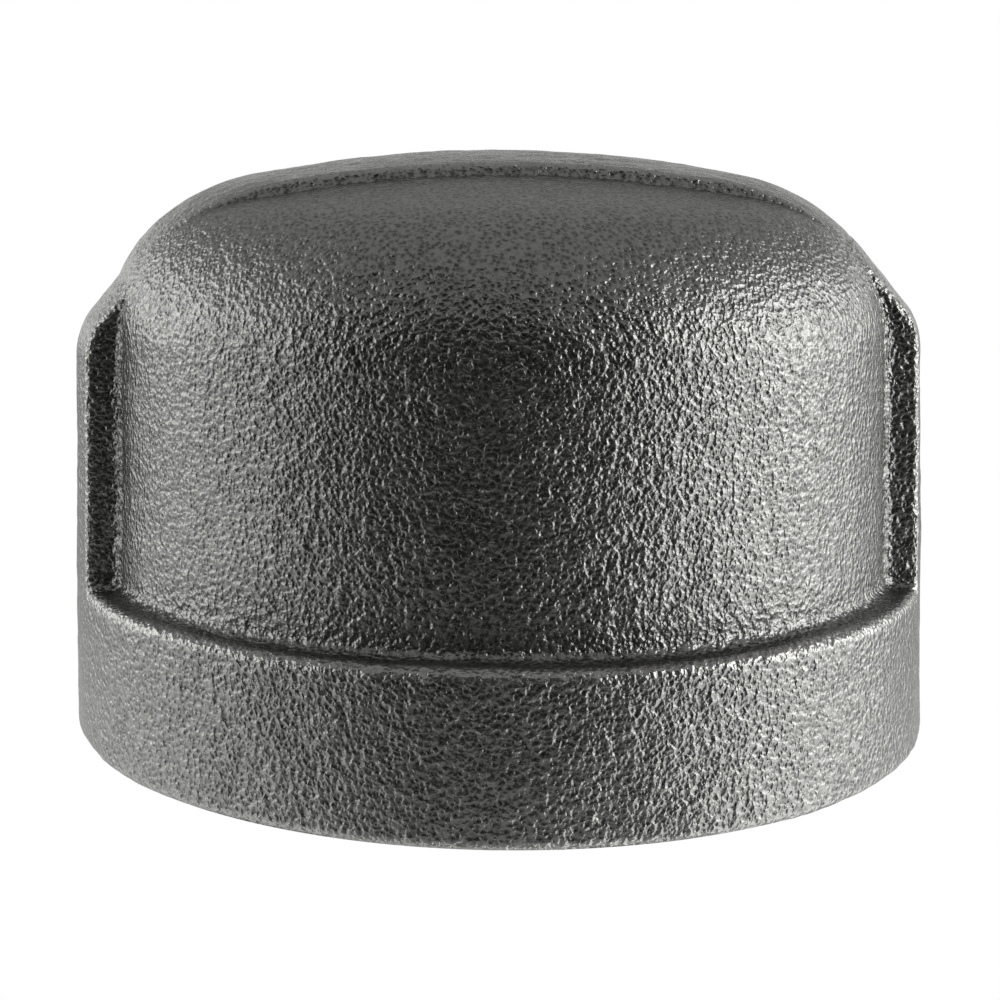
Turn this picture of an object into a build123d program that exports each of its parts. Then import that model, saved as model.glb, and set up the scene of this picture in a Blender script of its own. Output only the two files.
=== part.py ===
"""Malleable-iron pipe cap, NPS 1, class 150, with a 1-11.5 NPT internal thread.

One sand casting: domed body, reinforcing band round the open end, two broad side
ribs joined over the crown by a raised strap, cored cavity and tapered pipe thread.
Millimetres, +Z from the open end to the closed dome, origin at the centre of the
open end face, ribs on the X axis.
"""

from build123d import *
from build123d import SkipClean

import os
from math import acos, asin, atan, ceil, cos, degrees, hypot, radians, sin, tan

# Outside of the casting
band_radius = 22.5  # reinforcing band at the open end
band_height = 7.9
body_radius = 20.9
overall_height = 30.0  # open end face to the top of the strap
crown_radius = 67.7
shoulder_radius = 7.3
strap_step = 0.55  # how far the strap stands above the dome

# Side ribs and strap, one width all the way over
rib_width = 15.0
rib_top = 20.5  # where the rib's outer face starts to slope inward
rib_top_radius = 4.3
rib_foot = 1.5  # the ribs run down into the band

# Inside of the casting
wall = 3.4
thread_length = 14.7  # open end face to the end of the full wall

# 1-11.5 NPT internal thread, cut in a straight cored hole
pitch = 25.4 / 11.5
taper = 1 / 32  # on radius
major_radius = 33.228 / 2  # groove root at the open end face
minor_radius = 29.70 / 2  # straight crest wall
root_flat = 0.084
flank_depth = 1.79
flank_deg = 30  # half the thread angle
mouth_radius = 17.0  # 45 degree chamfer at the mouth
pilot_radius = minor_radius - 1.2

# Edges
band_blend = 1.0  # concave, body into band
rim_radius = 0.5  # outer edge of the band's top
face_edge_radius = 0.4  # outer edge of the open end face
rib_edge_radius = 0.4  # convex edges of ribs and strap
rib_root_radius = 0.4  # concave, ribs and strap into the body

# Overlaps and overruns that keep the booleans clean
blend_overlap = 0.03  # the band's blend ends this far inside the body wall
mouth_overrun = 1.0  # the mouth chamfer runs on past the open end face
hole_overrun = 2.0  # the hole cutter runs past both ends of the thread
hole_overlap = 0.3  # and reaches inside the pilot hole
groove_overrun = 0.35  # the groove cutter reaches past its flanks
groove_inset = 0.25  # and narrows on each side there
match_tolerance = 0.02  # for picking edges by position

# Derived sizes; the shoulder arcs are centred at arc_offset from the axis
arc_offset = body_radius - shoulder_radius
crown_deg = degrees(asin(arc_offset / (crown_radius - shoulder_radius)))
rise = (crown_radius - shoulder_radius) * cos(radians(crown_deg))
dome_height = overall_height - strap_step
dome_spring = dome_height - crown_radius + rise
strap_spring = overall_height - crown_radius + rise
cavity_radius = body_radius - wall


def on_side(edge):
    """Edges that lie in the side plane of the ribs and the strap, above the foot."""
    return (
        abs(abs(edge.position_at(0.5).Y) - rib_width / 2) < match_tolerance
        and abs(abs(edge.position_at(0.2).Y) - rib_width / 2) < match_tolerance
        and edge.position_at(0.5).Z > rib_foot + 0.1
    )


def on_body(edge):
    """Edges whose middle lies on the outside of the plain body."""
    middle = edge.position_at(0.5)
    radius = hypot(middle.X, middle.Y)
    if middle.Z <= dome_spring:
        gap = radius - body_radius
    elif radius < crown_radius * sin(radians(crown_deg)):
        gap = hypot(radius, middle.Z - dome_height + crown_radius) - crown_radius
    else:
        gap = hypot(radius - arc_offset, middle.Z - dome_spring) - shoulder_radius
    return abs(gap) < match_tolerance


def draw_dome(inset):
    """Add crown and shoulder arcs, inset from the dome, to the open BuildLine."""
    crown = JernArc((0, dome_height - inset), (1, 0), crown_radius - inset, -crown_deg)
    shoulder = JernArc(
        crown @ 1, crown % 1, shoulder_radius - inset, -(90 - crown_deg)
    )
    return shoulder @ 1


def strap_shoulder_point(angle):
    """Point on the strap's shoulder arc, its angle in radians up from horizontal."""
    return (
        arc_offset + shoulder_radius * cos(angle),
        strap_spring + shoulder_radius * sin(angle),
    )


def make_strap():
    """Ribs and strap: a turned envelope cut to one width, its long edges rounded."""
    # The rib's sloping top is tangent to the strap's shoulder arc
    run = band_radius - arc_offset
    drop = rib_top - strap_spring
    touch_angle = atan(drop / run) + acos(shoulder_radius / hypot(run, drop))
    middle_angle = (touch_angle + radians(90 - crown_deg)) / 2
    touch = strap_shoulder_point(touch_angle)

    with BuildPart() as strap:
        with BuildSketch(Plane.XZ) as section:
            with BuildLine():
                crown = JernArc((0, overall_height), (1, 0), crown_radius, -crown_deg)
                ThreePointArc(crown @ 1, strap_shoulder_point(middle_angle), touch)
                Polyline(
                    touch,
                    (band_radius, rib_top),
                    (band_radius, rib_foot),
                    (0, rib_foot),
                    (0, overall_height),
                )
            make_face()
            fillet(
                section.vertices().sort_by_distance((band_radius, rib_top))[0],
                radius=rib_top_radius,
            )
        revolve(axis=Axis.Z)
        with Locations((0, 0, overall_height / 2)):
            Box(4 * band_radius, rib_width, 2 * overall_height, mode=Mode.INTERSECT)
        fillet(strap.edges().filter_by(on_side), radius=rib_edge_radius)
    return strap.part


def make_band():
    """Reinforcing band, with the blend that runs up into the body."""
    blend_radius = body_radius - blend_overlap  # where the blend meets the body
    blend_top = (blend_radius, band_height + band_blend)
    blend_foot = (blend_radius + band_blend, band_height)

    with BuildPart() as band:
        with BuildSketch(Plane.XZ) as section:
            with BuildLine():
                Polyline(
                    blend_top,
                    (cavity_radius, band_height + band_blend),
                    (cavity_radius, 0),
                    (band_radius, 0),
                    (band_radius, band_height),
                    blend_foot,
                )
                RadiusArc(blend_foot, blend_top, band_blend)
            make_face()
            for height, radius in ((band_height, rim_radius), (0, face_edge_radius)):
                fillet(
                    section.vertices().sort_by_distance((band_radius, height))[0],
                    radius=radius,
                )
        revolve(axis=Axis.Z)
    return band.part


def make_core():
    """Core that leaves the mouth chamfer, pilot hole and wider domed cavity."""
    with BuildPart() as core:
        with BuildSketch(Plane.XZ):
            with BuildLine():
                dome_end = draw_dome(wall)
                Polyline(
                    dome_end,
                    (cavity_radius, thread_length + cavity_radius - minor_radius),
                    (pilot_radius, thread_length + pilot_radius - minor_radius),
                    (pilot_radius, mouth_radius - pilot_radius),
                    (mouth_radius + mouth_overrun, -mouth_overrun),
                    (0, -mouth_overrun),
                    (0, dome_height - wall),
                )
            make_face()
        revolve(axis=Axis.Z)
    return core.part


def make_groove_turn(start_z):
    """One right-hand turn of the 60 degree thread groove, on the 1:16 taper."""
    half_width = root_flat / 2 + flank_depth * tan(radians(flank_deg))
    tail_x = -flank_depth - groove_overrun
    with BuildPart() as groove:
        with BuildLine() as path:
            Helix(
                pitch,
                pitch,
                major_radius - taper * start_z,
                center=(0, 0, start_z),
                cone_angle=-degrees(atan(taper)),
            )
        section_plane = Plane(
            origin=path.line @ 0, x_dir=(1, 0, 0), z_dir=path.line % 0
        )
        with BuildSketch(section_plane):
            Polygon(
                (0, -root_flat / 2),
                (0, root_flat / 2),
                (-flank_depth, half_width),
                (tail_x, half_width - groove_inset),
                (tail_x, -half_width + groove_inset),
                (-flank_depth, -half_width),
                align=None,
            )
        sweep(path=path.line, is_frenet=True)
    return groove.part


def make_cap_casting():
    """The whole casting: body, ribs and band, then the cavity and thread cut out."""
    strap = make_strap()
    band = make_band()
    core = make_core()
    # The turns start one pitch outside the open end and run on past the full wall
    last_turn = ceil(thread_length / pitch) + 1
    grooves = [make_groove_turn(turn * pitch) for turn in range(-1, last_turn + 1)]

    with BuildPart() as casting:
        with BuildSketch(Plane.XZ):
            with BuildLine():
                dome_end = draw_dome(0)
                Polyline(dome_end, (body_radius, 0), (0, 0), (0, dome_height))
            make_face()
        revolve(axis=Axis.Z)
        add(strap)
        fillet(
            casting.edges().filter_by(on_side).filter_by(on_body),
            radius=rib_root_radius,
        )
        add(band)
        with SkipClean():
            add(core, mode=Mode.SUBTRACT)
            # The straight hole is opened out in four quarters, so its wall is four faces
            for quarter in range(4):
                with BuildSketch(Plane.XZ.rotated((0, 0, 90 * quarter))):
                    with Locations(
                        ((minor_radius + pilot_radius - hole_overlap) / 2, thread_length / 2)
                    ):
                        Rectangle(
                            minor_radius - pilot_radius + hole_overlap,
                            thread_length + 2 * hole_overrun,
                        )
                revolve(axis=Axis.Z, revolution_arc=90, mode=Mode.SUBTRACT)
            add(grooves, mode=Mode.SUBTRACT)
    return casting.part


os.makedirs("parts", exist_ok=True)
cap_casting = make_cap_casting()
cap_casting.label = "cap_casting"
export_step(cap_casting, "parts/cap_casting.step")
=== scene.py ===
import math

import bpy
import numpy as np
from mathutils import Matrix, Vector


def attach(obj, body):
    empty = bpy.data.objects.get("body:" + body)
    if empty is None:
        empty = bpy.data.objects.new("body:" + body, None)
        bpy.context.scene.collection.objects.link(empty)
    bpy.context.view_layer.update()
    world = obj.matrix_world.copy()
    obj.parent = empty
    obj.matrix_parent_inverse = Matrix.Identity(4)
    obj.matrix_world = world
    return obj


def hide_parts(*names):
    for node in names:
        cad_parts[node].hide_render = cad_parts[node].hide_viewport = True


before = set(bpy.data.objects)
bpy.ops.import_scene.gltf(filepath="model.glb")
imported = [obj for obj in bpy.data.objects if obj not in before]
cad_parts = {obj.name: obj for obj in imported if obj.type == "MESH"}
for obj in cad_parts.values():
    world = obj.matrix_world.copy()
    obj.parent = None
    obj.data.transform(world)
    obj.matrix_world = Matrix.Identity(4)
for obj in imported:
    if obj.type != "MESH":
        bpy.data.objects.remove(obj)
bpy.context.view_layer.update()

# ---------------------------------------------------------------- dimensions, mm, as in the CAD
BAND_R, BAND_H = 22.5, 7.9
BODY_R, HEIGHT = 20.85, 29.95
CROWN_R, SHOULDER_R = 71.3, 7.3
STRAP_STEP, RIB_W = 0.6, 15.0
WALL, THREAD_LEN = 3.4, 14.7
PITCH, TAPER = 25.4 / 11.5, 1 / 32
MAJOR_R, MINOR_R, MOUTH_R = 33.228 / 2, 14.85, 17.0
ROOT_FLAT = 0.084

ARC = BODY_R - SHOULDER_R
CROWN = math.asin(ARC / (CROWN_R - SHOULDER_R))
RISE = (CROWN_R - SHOULDER_R) * math.cos(CROWN)
DOME_SPRING = HEIGHT - STRAP_STEP - CROWN_R + RISE

# the strap's own section: it thins out over the shoulder and ends where the two arcs touch
STRAP_CROWN_R, STRAP_ARC_R = 70.6, 9.9
STRAP_ARC = (11.56, 18.93)
STRAP_TURN = math.tan(math.asin(STRAP_ARC[0] / (STRAP_CROWN_R - STRAP_ARC_R)))
STRAP_END = math.radians(44)

# the ribs' sloping top: a line with its normal at this elevation, and the corner under it
RIB_LEAN, RIB_REACH, RIB_TOP_R = math.radians(39), 30.61, 3.3

STEP = 0.17  # spacing of the mesh, mm


# ---------------------------------------------------------------- the casting as one distance field
def join_round(a, b, k):
    """Union with a concave fillet of radius k."""
    return np.maximum(k, np.minimum(a, b)) - np.hypot(
        np.maximum(k - a, 0), np.maximum(k - b, 0)
    )


def meet_round(a, b, k):
    """Intersection with a convex fillet of radius k."""
    return np.minimum(-k, np.maximum(a, b)) + np.hypot(
        np.maximum(k + a, 0), np.maximum(k + b, 0)
    )


def ease(t, lo, hi):
    t = np.clip((t - lo) / (hi - lo), 0, 1)
    return t * t * (3 - 2 * t)


def dome(r, z, spring):
    """The turned outside: straight side, shoulder arc, flatter crown."""
    dr, dz = r - ARC, z - spring
    arc = np.hypot(dr, dz) - SHOULDER_R
    top = np.hypot(r, z - spring + RISE) - CROWN_R
    return np.where(dz <= 0, r - BODY_R, np.where(dr > dz * math.tan(CROWN), arc, top))


def rib_outside(r, z):
    """Vertical outer face, rounded corner and a sloping top that runs into the shoulder."""
    c, n = math.cos(RIB_LEAN), math.sin(RIB_LEAN)
    cr = BAND_R - RIB_TOP_R
    cz = (RIB_REACH - RIB_TOP_R - cr * c) / n
    dr, dz = r - cr, z - cz
    out = np.where(
        dz <= 0,
        r - BAND_R,
        np.where(dz * c < dr * n, np.hypot(dr, dz) - RIB_TOP_R, r * c + z * n - RIB_REACH),
    )
    return np.maximum(out, (z - DOME_SPRING) * c - (r - ARC) * n)


def strap_outside(r, z):
    """The strap over the crown, sinking into the shoulder at its ends."""
    dr, dz = r - STRAP_ARC[0], z - STRAP_ARC[1]
    top = np.hypot(r, z - HEIGHT + STRAP_CROWN_R) - STRAP_CROWN_R
    out = np.where(dr > dz * STRAP_TURN, np.hypot(dr, dz) - STRAP_ARC_R, top)
    past = (r - ARC) * math.sin(STRAP_END) - (z - DOME_SPRING) * math.cos(STRAP_END)
    return out + 0.5 * np.maximum(past, 0)


def cavity(x, y, z, r):
    """Inside is negative: mouth chamfer, threaded hole, cored chamber."""
    w = z / PITCH - np.arctan2(y, x) / (2 * math.pi)
    s = PITCH * np.abs(w - np.round(w))
    root = MAJOR_R - TAPER * z
    flank = (r - root + math.sqrt(3) * (s - ROOT_FLAT / 2)) / 2
    groove = np.maximum(meet_round(r - root, flank, 0.05), z - 19.5)
    hole = join_round(groove, np.maximum(r - MINOR_R, z - 17), 0.09)
    hole = join_round(hole, (r + z - MOUTH_R) / math.sqrt(2), 0.05)
    chamber = meet_round(
        dome(r, z, DOME_SPRING) + WALL, (r - z + THREAD_LEN - MINOR_R) / math.sqrt(2), 0.4
    )
    return join_round(hole, chamber, 0.1)


def casting(x, y, z):
    r = np.hypot(x, y)
    body = dome(r, z, DOME_SPRING)
    band = meet_round(r - BAND_R, z - BAND_H, 0.5)
    out = join_round(body, band, 0.6)
    sides = np.abs(y) - RIB_W / 2
    lift = np.where(x > 0, 0.35, -0.2)
    rib = rib_outside(r, z - lift)
    root = np.clip(0.3 * (body - rib), 0.03, 0.45)
    rib = np.maximum(meet_round(rib, sides, 0.22), 1.5 - z)
    out = join_round(out, rib, root)
    top = strap_outside(r, z)
    step = np.clip(body - top, 0.0, 1.0)
    strap = meet_round(top, sides, 0.02 + 0.55 * step)
    out = join_round(out, strap, 0.02 + 0.75 * step)
    out = np.maximum(out, r - BAND_R)
    out = meet_round(out, -z, 0.45)
    return meet_round(out, -cavity(x, y, z, r), 0.06)


# ---------------------------------------------------------------- mesh from the field
def surface_net(f, lo, hi, h):
    """Quads on the zero surface of f between two corners, one vertex in each crossed cell."""
    axes = [np.arange(a, b + h, h) for a, b in zip(lo, hi)]
    n = [len(a) for a in axes]
    gx = axes[0].astype(np.float32)[:, None, None]
    gy = axes[1].astype(np.float32)[None, :, None]
    ids, where, quads = [], [], []

    def cell(i, j, k):
        return (i * n[1] + j) * n[2] + k

    def cross(v, axis, k0):
        a = v[tuple(slice(0, -1) if d == axis else slice(None) for d in range(3))]
        b = v[tuple(slice(1, None) if d == axis else slice(None) for d in range(3))]
        inside = a < 0
        at = np.nonzero(inside != (b < 0))
        va, vb = a[at].astype(float), b[at].astype(float)
        t = va / (va - vb)
        i, j, k = at[0], at[1], at[2] + k0
        p = np.stack([axes[0][i], axes[1][j], axes[2][k]], 1)
        p[:, axis] += t * h
        u, w = (axis + 1) % 3, (axis + 2) % 3
        around = []
        for du, dw in ((1, 1), (0, 1), (0, 0), (1, 0)):
            c = [i, j, k]
            c[u] = c[u] - du
            c[w] = c[w] - dw
            around.append(cell(*c))
        around = np.stack(around, 1)
        flip = ~inside[at]
        around[flip] = around[flip][:, ::-1]
        ids.append(around.ravel())
        where.append(np.repeat(p, 4, 0))
        quads.append(around)

    slab = 12
    for k0 in range(0, n[2] - 1, slab):
        k1 = min(k0 + slab, n[2] - 1)
        gz = axes[2][k0 : k1 + 1].astype(np.float32)[None, None, :]
        v = f(
            *np.broadcast_arrays(gx, gy, gz)
        )
        cross(v[:, :, :-1], 0, k0)
        cross(v[:, :, :-1], 1, k0)
        cross(v, 2, k0)
    ids, where, quads = np.concatenate(ids), np.concatenate(where), np.concatenate(quads)
    used, back = np.unique(ids, return_inverse=True)
    count = np.bincount(back)
    verts = np.stack([np.bincount(back, where[:, d]) / count for d in range(3)], 1)
    return verts, np.searchsorted(used, quads)


def gradient(f, p, e=0.008):
    g = np.empty_like(p)
    for d in range(3):
        q = p.copy()
        q[:, d] += e
        a = f(*q.T)
        q[:, d] -= 2 * e
        g[:, d] = (a - f(*q.T)) / (2 * e)
    return g


def onto(f, p, rounds=3):
    for _ in range(rounds):
        g = gradient(f, p)
        step = f(*p.T) / np.maximum((g * g).sum(1), 0.05)
        p = p - np.clip(step, -0.1, 0.1)[:, None] * g
    return p


def lumps(seed, n=96, low=5.0, high=11.0):
    """A repeating block of noise whose features are between low and high cells across, spread 1."""
    rng = np.random.default_rng(seed)
    k = np.fft.fftfreq(n)
    kk = np.sqrt(
        k[:, None, None] ** 2 + k[None, :, None] ** 2 + (k[: n // 2 + 1] ** 2)[None, None, :]
    )
    keep = np.exp(-((np.log(np.maximum(kk, 1e-6) * math.sqrt(low * high))) ** 2) / 0.12)
    block = np.fft.irfftn(np.fft.rfftn(rng.standard_normal((n, n, n))) * keep, (n, n, n))
    return block / block.std()


def sample(block, p, size):
    """The block at points p, one wavelength of its noise about size mm."""
    n = block.shape[0]
    q = p / size * 7.4 + 1000.37 * n / 96
    i = np.floor(q).astype(int)
    f = q - i
    f = f * f * (3 - 2 * f)
    out = 0
    for a in (0, 1):
        for b in (0, 1):
            for c in (0, 1):
                w = (
                    (f[:, 0] if a else 1 - f[:, 0])
                    * (f[:, 1] if b else 1 - f[:, 1])
                    * (f[:, 2] if c else 1 - f[:, 2])
                )
                out = out + w * block[
                    (i[:, 0] + a) % n, (i[:, 1] + b) % n, (i[:, 2] + c) % n
                ]
    return out


h = STEP
verts, quads = surface_net(
    casting, (-22.9, -22.9, -0.43), (22.9, 22.9, 30.4), h
)
verts = onto(casting, verts)
normal = gradient(casting, verts)
normal /= np.linalg.norm(normal, axis=1)[:, None]

# which parts were cut and which are as cast
radius = np.hypot(verts[:, 0], verts[:, 1])
inner = cavity(*verts.T, radius)
cut = (np.abs(inner) < 0.12) & (
    np.minimum(dome(radius, verts[:, 2], DOME_SPRING) + WALL + 0.08, 9) < -0.0
) | ((np.abs(inner) < 0.12) & (verts[:, 2] < THREAD_LEN + 2.7) & (radius < 17.2))
face = verts[:, 2] < 0.06
cast_share = np.where(cut | face, 0.0, 1.0)

# sharp convex edges, painted brighter: partly rubbed wear, partly a painted highlight
span = 0.25
bend = -6 * casting(*verts.T)
for d in range(3):
    for way in (-span, span):
        moved = verts.copy()
        moved[:, d] += way
        bend += casting(*moved.T)
bend /= span * span
# mask for the brighter edges: partly rubbed wear, partly a painted highlight
wear_and_highlight = ease(bend, 0.7, 2.2) * cast_share

block = lumps(11)
turn = np.linalg.qr(np.random.default_rng(3).standard_normal((3, 3)))[0]
p1, p2 = verts @ turn, verts @ turn.T
height = (
    0.030 * sample(block, p1, 16.0)
    + 0.012 * sample(block, p2 + 31, 5.0)
    + 0.009 * sample(block, p1 + 7, 2.0)
    + 0.005 * sample(block, p2 + 3, 0.95)
)
scale = np.where(cast_share > 0.5, 1.0, 0.05)
verts = verts + normal * (height * scale)[:, None]

# ---------------------------------------------------------------- piece
mesh = bpy.data.meshes.new("cap_casting_skin")
co = (verts / 1000).astype(np.float32)
mesh.vertices.add(len(co))
mesh.vertices.foreach_set("co", co.ravel())
mesh.loops.add(quads.size)
mesh.loops.foreach_set("vertex_index", quads.ravel().astype(np.int32))
mesh.polygons.add(len(quads))
mesh.polygons.foreach_set("loop_start", np.arange(0, quads.size, 4, dtype=np.int32))
mesh.polygons.foreach_set("use_smooth", np.ones(len(quads), bool))
machined = (1 - cast_share[quads].mean(1)) > 0.5
mesh.polygons.foreach_set("material_index", machined.astype(np.int32))
mesh.update(calc_edges=True)
# per-vertex mask for the brighter edges, partly wear and partly a painted highlight
wear = mesh.attributes.new("wear_and_highlight", "FLOAT", "POINT")
wear.data.foreach_set("value", wear_and_highlight.astype(np.float32))
mesh.validate()
cap = bpy.data.objects.new("cap_casting_skin", mesh)
bpy.context.scene.collection.objects.link(cap)
print("cap mesh", len(co), "vertices", len(quads), "faces")


# ---------------------------------------------------------------- materials
class Nodes:
    def __init__(self, name):
        self.mat = bpy.data.materials.new(name)
        self.mat.use_nodes = True
        self.tree = self.mat.node_tree
        self.tree.nodes.clear()
        self.out = self.add("ShaderNodeOutputMaterial")

    def add(self, kind, **values):
        node = self.tree.nodes.new(kind)
        for key, value in values.items():
            if hasattr(node, key):
                setattr(node, key, value)
            else:
                node.inputs[key.replace("_", " ")].default_value = value
        return node

    def link(self, a, b):
        self.tree.links.new(a, b)

    def math(self, op, a, b=None, clamp=False):
        node = self.tree.nodes.new("ShaderNodeMath")
        node.operation = op
        node.use_clamp = clamp
        for socket, value in zip(node.inputs, (a, b)):
            if value is None:
                continue
            if isinstance(value, (int, float)):
                socket.default_value = value
            else:
                self.link(value, socket)
        return node.outputs[0]

    def noise(self, vector, scale, detail=2.0, rough=0.5):
        node = self.add(
            "ShaderNodeTexNoise", Scale=scale, Detail=detail, Roughness=rough
        )
        self.link(vector, node.inputs["Vector"])
        return node.outputs["Fac"]

    def ramp(self, fac, stops):
        node = self.tree.nodes.new("ShaderNodeValToRGB")
        while len(node.color_ramp.elements) < len(stops):
            node.color_ramp.elements.new(0.5)
        for e, (at, colour) in zip(node.color_ramp.elements, stops):
            e.position = at
            e.color = (*colour, 1)
        self.link(fac, node.inputs[0])
        return node.outputs[0]


def cast_iron():
    """Black-oxide skin on a sand casting: fine grain, dark pits darkened as painted shade, slightly
    brighter grains on convex edges, partly rubbed wear and partly a painted highlight.
    """
    m = Nodes("black_oxide_cast_iron")
    at = m.add("ShaderNodeTexCoord").outputs["Object"]
    cells = m.add("ShaderNodeTexVoronoi", Scale=3900.0, Randomness=1.0)
    m.link(at, cells.inputs["Vector"])
    cells = cells.outputs["Distance"]
    small = m.noise(at, 3700, 1.0, 0.5)
    large = m.noise(at, 2100, 1.0, 0.5)
    grain = m.math("ADD", m.math("MULTIPLY", small, 0.55), m.math("MULTIPLY", large, 0.45))
    wear_and_highlight = m.add("ShaderNodeAttribute", attribute_name="wear_and_highlight").outputs["Fac"]
    wear_and_highlight = m.math("MULTIPLY", wear_and_highlight, m.math("MULTIPLY", small, 1.6), clamp=True)
    fine = m.noise(at, 9000, 1.0, 0.5)
    broad = m.noise(at, 800, 2.0, 0.5)
    stain = m.noise(at, 90, 4.0, 0.6)
    # base colour follows the bump height: darker in the pits as painted shade, lighter on the grain
    # tops as painted light, plus random tone from the broad and stain noise
    tone = m.math(
        "ADD",
        m.math("MULTIPLY", grain, 0.5),
        m.math(
            "ADD",
            m.math("MULTIPLY", cells, 0.25),
            m.math(
                "ADD", m.math("MULTIPLY", broad, 0.15), m.math("MULTIPLY", stain, 0.20)
            ),
        ),
    )
    colour = m.ramp(
        tone,
        [
            (0.38, (0.003, 0.0030, 0.0028)),
            (0.50, (0.008, 0.0079, 0.0074)),
            (0.64, (0.028, 0.0277, 0.0258)),
        ],
    )
    rough = m.math(
        "ADD",
        m.math("MULTIPLY", grain, -0.20),
        m.math("ADD", m.math("MULTIPLY", broad, 0.10), 0.33),
    )
    glint = m.ramp(
        m.math("ADD", m.math("MULTIPLY", cells, 0.5), m.math("MULTIPLY", fine, 0.5)),
        [(0.26, (0.20, 0.20, 0.20)), (0.42, (0.50, 0.50, 0.50)), (0.58, (0.90, 0.90, 0.90))],
    )
    glint = m.math("ADD", glint, m.math("MULTIPLY", wear_and_highlight, 0.5), clamp=True)
    # edge colour lifted towards light grey: partly rubbed wear, partly a painted highlight
    bright = m.add("ShaderNodeMix", data_type="RGBA")
    m.link(m.math("MULTIPLY", wear_and_highlight, 0.8), bright.inputs[0])
    m.link(colour, bright.inputs[6])
    bright.inputs[7].default_value = (0.115, 0.113, 0.106, 1)
    colour = bright.outputs[2]
    rough = m.math("SUBTRACT", rough, m.math("MULTIPLY", wear_and_highlight, 0.06))
    heights = m.math(
        "ADD",
        m.math("ADD", m.math("MULTIPLY", grain, 1.0), m.math("MULTIPLY", cells, 0.35)),
        m.math("ADD", m.math("MULTIPLY", fine, 0.15), m.math("MULTIPLY", broad, 0.3)),
    )
    bump = m.add("ShaderNodeBump")
    bump.inputs["Strength"].default_value = 1.0
    bump.inputs["Distance"].default_value = 0.00018
    m.link(heights, bump.inputs["Height"])
    shader = m.add("ShaderNodeBsdfPrincipled")
    shader.inputs["Metallic"].default_value = 0.0
    shader.inputs["IOR"].default_value = 2.1
    shader.inputs["Specular Tint"].default_value = (1.0, 0.995, 0.955, 1)
    m.link(glint, shader.inputs["Specular IOR Level"])
    m.link(colour, shader.inputs["Base Color"])
    m.link(rough, shader.inputs["Roughness"])
    m.link(bump.outputs[0], shader.inputs["Normal"])
    m.link(shader.outputs[0], m.out.inputs[0])
    return m.mat


def cut_iron():
    """Tapped thread and faced end: dark iron with fine turning marks and a film of oil."""
    m = Nodes("cut_iron")
    at = m.add("ShaderNodeTexCoord").outputs["Object"]
    split = m.add("ShaderNodeSeparateXYZ")
    m.link(at, split.inputs[0])
    r = m.math(
        "SQRT",
        m.math(
            "ADD",
            m.math("MULTIPLY", split.outputs[0], split.outputs[0]),
            m.math("MULTIPLY", split.outputs[1], split.outputs[1]),
        ),
    )
    line = m.add("ShaderNodeCombineXYZ")
    m.link(m.math("MULTIPLY", r, 9000.0), line.inputs[0])
    m.link(m.math("MULTIPLY", split.outputs[2], 9000.0), line.inputs[2])
    marks = m.noise(line.outputs[0], 1.0, 2.0, 0.6)
    broad = m.noise(at, 300, 3.0, 0.6)
    spots = m.noise(at, 1500, 2.0, 0.6)
    tone = m.math("ADD", m.math("MULTIPLY", marks, 0.45), m.math("MULTIPLY", broad, 0.55))
    colour = m.ramp(
        tone,
        [
            (0.30, (0.055, 0.053, 0.050)),
            (0.55, (0.115, 0.112, 0.106)),
            (0.75, (0.190, 0.186, 0.178)),
        ],
    )
    rough = m.math(
        "ADD", m.math("MULTIPLY", marks, 0.18), m.math("ADD", m.math("MULTIPLY", spots, 0.15), 0.22)
    )
    bump = m.add("ShaderNodeBump")
    bump.inputs["Strength"].default_value = 0.6
    bump.inputs["Distance"].default_value = 0.00002
    m.link(m.math("ADD", marks, m.math("MULTIPLY", spots, 0.5)), bump.inputs["Height"])
    shader = m.add("ShaderNodeBsdfPrincipled")
    shader.inputs["Metallic"].default_value = 0.85
    m.link(colour, shader.inputs["Base Color"])
    m.link(rough, shader.inputs["Roughness"])
    m.link(bump.outputs[0], shader.inputs["Normal"])
    m.link(shader.outputs[0], m.out.inputs[0])
    return m.mat


skin, cut_face = cast_iron(), cut_iron()
mesh.materials.append(skin)
mesh.materials.append(cut_face)
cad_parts["cap_casting"].data.materials.clear()
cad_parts["cap_casting"].data.materials.append(skin)

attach(cap, "root")
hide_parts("cap_casting")


# ---------------------------------------------------------------- stage
# Brightness of what surrounds the cap: azimuth where each side's light starts and ends,
# then how bright it is below the horizon, above it, and the elevations where it fades
DARK, TOP, BACK_LOW, BACK_HIGH, BACK_FLOOR = 0.02, 0.42, 1.1, 0.4, 0.3
FLOOR_GLOW = 0.4
SIDES = (
    (51, 62, 90, 140, 2.1, 5.3, (18, 32)),
    (-150, -125, -65, -57, 0.76, 2.5, (18, 34)),
)


def floor_paint():
    """Plain white to the camera; for the cap's reflections only a soft glow close round it."""
    m = Nodes("pale_floor")
    path = m.add("ShaderNodeLightPath")
    at = m.add("ShaderNodeTexCoord").outputs["Object"]
    length = m.add("ShaderNodeVectorMath", operation="LENGTH")
    m.link(at, length.inputs[0])
    gone = m.math("DIVIDE", m.math("SUBTRACT", length.outputs["Value"], 0.0225), -0.025)
    near = m.math("MULTIPLY", m.math("EXPONENT", gone), FLOOR_GLOW)
    clear = m.add("ShaderNodeBsdfTransparent")
    halo = m.add("ShaderNodeEmission")
    m.link(near, halo.inputs["Strength"])
    both = m.add("ShaderNodeAddShader")
    m.link(clear.outputs[0], both.inputs[0])
    m.link(halo.outputs[0], both.inputs[1])
    glow = m.add("ShaderNodeEmission")
    glow.inputs["Strength"].default_value = 1.0
    mix = m.add("ShaderNodeMixShader")
    m.link(path.outputs["Is Camera Ray"], mix.inputs[0])
    m.link(both.outputs[0], mix.inputs[1])
    m.link(glow.outputs[0], mix.inputs[2])
    m.link(mix.outputs[0], m.out.inputs[0])
    return m.mat


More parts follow.
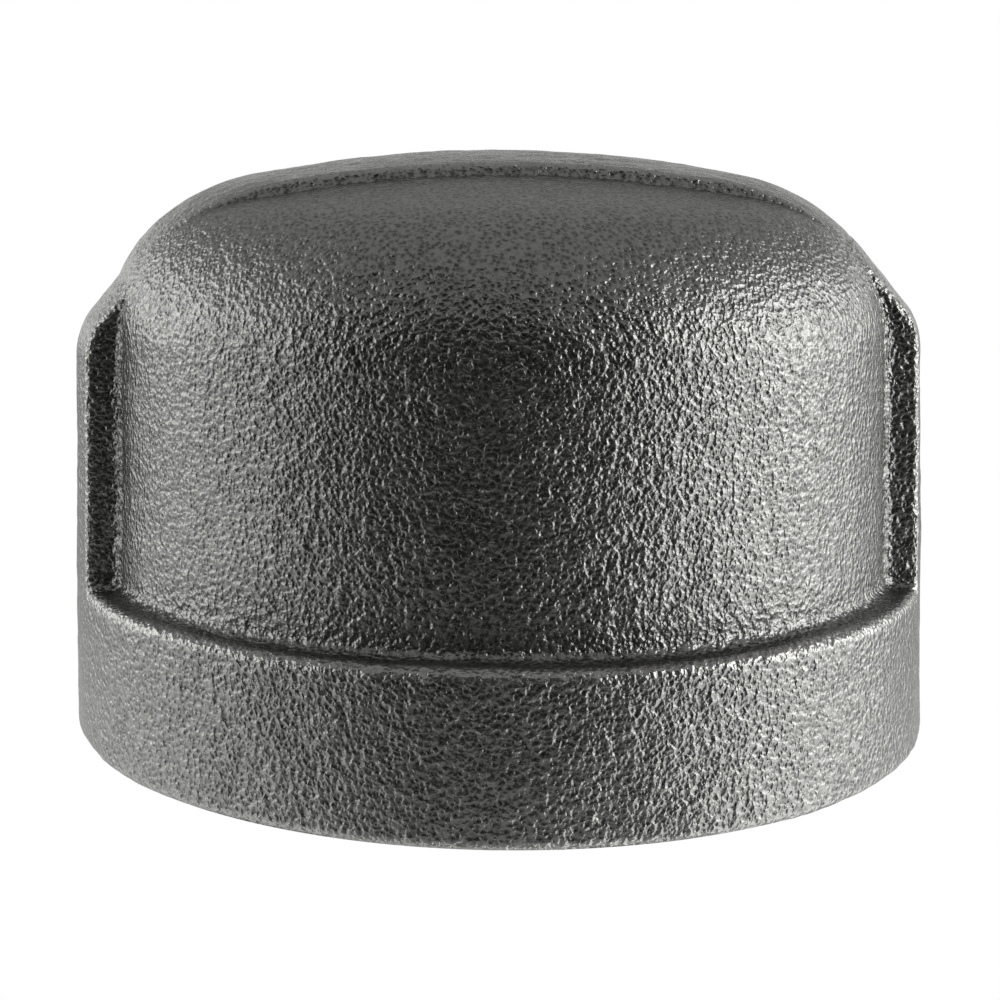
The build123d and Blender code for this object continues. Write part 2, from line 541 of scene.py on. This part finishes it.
ring = 96
disc = bpy.data.meshes.new("floor")
disc.from_pydata(
    [
        (0.8 * math.cos(2 * math.pi * i / ring), 0.8 * math.sin(2 * math.pi * i / ring), -0.0002)
        for i in range(ring)
    ],
    [],
    [list(range(ring))],
)
floor = bpy.data.objects.new("floor", disc)
disc.materials.append(floor_paint())
bpy.context.scene.collection.objects.link(floor)


world = bpy.data.worlds.new("studio")
bpy.context.scene.world = world
world.use_nodes = True
tree = world.node_tree
tree.nodes.clear()
sky = Nodes.__new__(Nodes)
sky.tree = tree
sky.out = sky.add("ShaderNodeOutputWorld")
back = sky.add("ShaderNodeBackground", Color=(1, 1, 1, 1))
toward = sky.add("ShaderNodeSeparateXYZ")
sky.link(sky.add("ShaderNodeTexCoord").outputs["Generated"], toward.inputs[0])
# azimuth 0 is the camera's side and +90 the right of the picture, both angles in degrees
azimuth = sky.math(
    "DEGREES", sky.math("ARCTAN2", toward.outputs[0], sky.math("MULTIPLY", toward.outputs[1], -1.0))
)
elevation = sky.math("DEGREES", sky.math("ARCSINE", toward.outputs[2]))


def rise(value, low, high):
    """0 below low, 1 above high, smooth between."""
    node = sky.add("ShaderNodeMapRange", interpolation_type="SMOOTHSTEP")
    node.inputs["From Min"].default_value = low
    node.inputs["From Max"].default_value = high
    sky.link(value, node.inputs["Value"])
    return node.outputs["Result"]


def fall(value, low, high):
    return sky.math("SUBTRACT", 1.0, rise(value, low, high))


def times(*factors):
    total = factors[0]
    for factor in factors[1:]:
        total = sky.math("MULTIPLY", total, factor)
    return total


def plus(*terms):
    total = terms[0]
    for term in terms[1:]:
        total = sky.math("ADD", total, term)
    return total


parts = [DARK]
for lo_in, lo_out, hi_in, hi_out, low, face, top in SIDES:
    sector = times(rise(azimuth, lo_in, lo_out), fall(azimuth, hi_in, hi_out))
    upright = plus(
        times(fall(elevation, -14, 10), low),
        times(rise(elevation, -14, 10), fall(elevation, *top), face),
    )
    parts.append(times(sector, upright))
behind = rise(sky.math("ABSOLUTE", azimuth), 95, 125)
parts.append(times(behind, fall(elevation, 6, 16), rise(elevation, -6, 0), BACK_LOW))
parts.append(times(behind, rise(elevation, 6, 16), fall(elevation, 30, 50), BACK_HIGH))
parts.append(times(behind, fall(elevation, -6, 0), BACK_FLOOR))
parts.append(times(rise(elevation, 26, 46), TOP))
level = sky.add("ShaderNodeMix", data_type="FLOAT")
sky.link(plus(*parts), level.inputs[2])
level.inputs[3].default_value = 1.0
sky.link(sky.add("ShaderNodeLightPath").outputs["Is Camera Ray"], level.inputs[0])
sky.link(level.outputs[0], back.inputs["Strength"])
sky.link(back.outputs[0], sky.out.inputs[0])

scene = bpy.context.scene
scene.view_settings.view_transform = "Standard"
scene.view_settings.look = "None"
scene.view_settings.exposure = 0
scene.view_settings.gamma = 1

# ---------------------------------------------------------------- camera
R = 0.0225
YAW, ROLL = math.radians(-0.46), math.radians(-0.075)
spot = Matrix.Rotation(YAW, 3, "Z") @ Vector((-0.2239 * R, -4.976 * R, 1.4797 * R))
cam_data = bpy.data.cameras.new("camera")
cam_data.sensor_width = 36
cam_data.lens = 2052.2 / 1000 * 36
cam_data.clip_start, cam_data.clip_end = 0.005, 10
cam = bpy.data.objects.new("camera", cam_data)
scene.collection.objects.link(cam)
scene.camera = cam
cam.location = spot
cam.rotation_mode = "QUATERNION"
look = (
    Matrix.Rotation(YAW, 3, "Z")
    @ Matrix.Rotation(math.radians(90), 3, "X")
    @ Matrix.Rotation(ROLL, 3, "Z")
)
cam.rotation_quaternion = look.to_quaternion()


def shift_here(channel, amount):
    """Lens shift that holds only while the camera stands at the picture's spot."""
    curve = cam_data.driver_add(channel)
    curve.driver.type = "SUM"
    var = curve.driver.variables.new()
    var.type = "TRANSFORMS"
    var.targets[0].id = cam
    var.targets[0].transform_type = "LOC_Y"
    var.targets[0].transform_space = "WORLD_SPACE"
    for m in list(curve.modifiers):
        curve.modifiers.remove(m)
    keys = ((spot.y - 10, 0), (spot.y - 0.0006, amount), (spot.y + 0.0006, 0))
    curve.keyframe_points.add(len(keys))
    for key, at in zip(curve.keyframe_points, keys):
        key.co = at
        key.handle_left = key.handle_right = at
        key.interpolation = "CONSTANT"


shift_here("shift_x", 0.0976)
shift_here("shift_y", -0.4099)

bpy.context.view_layer.update()
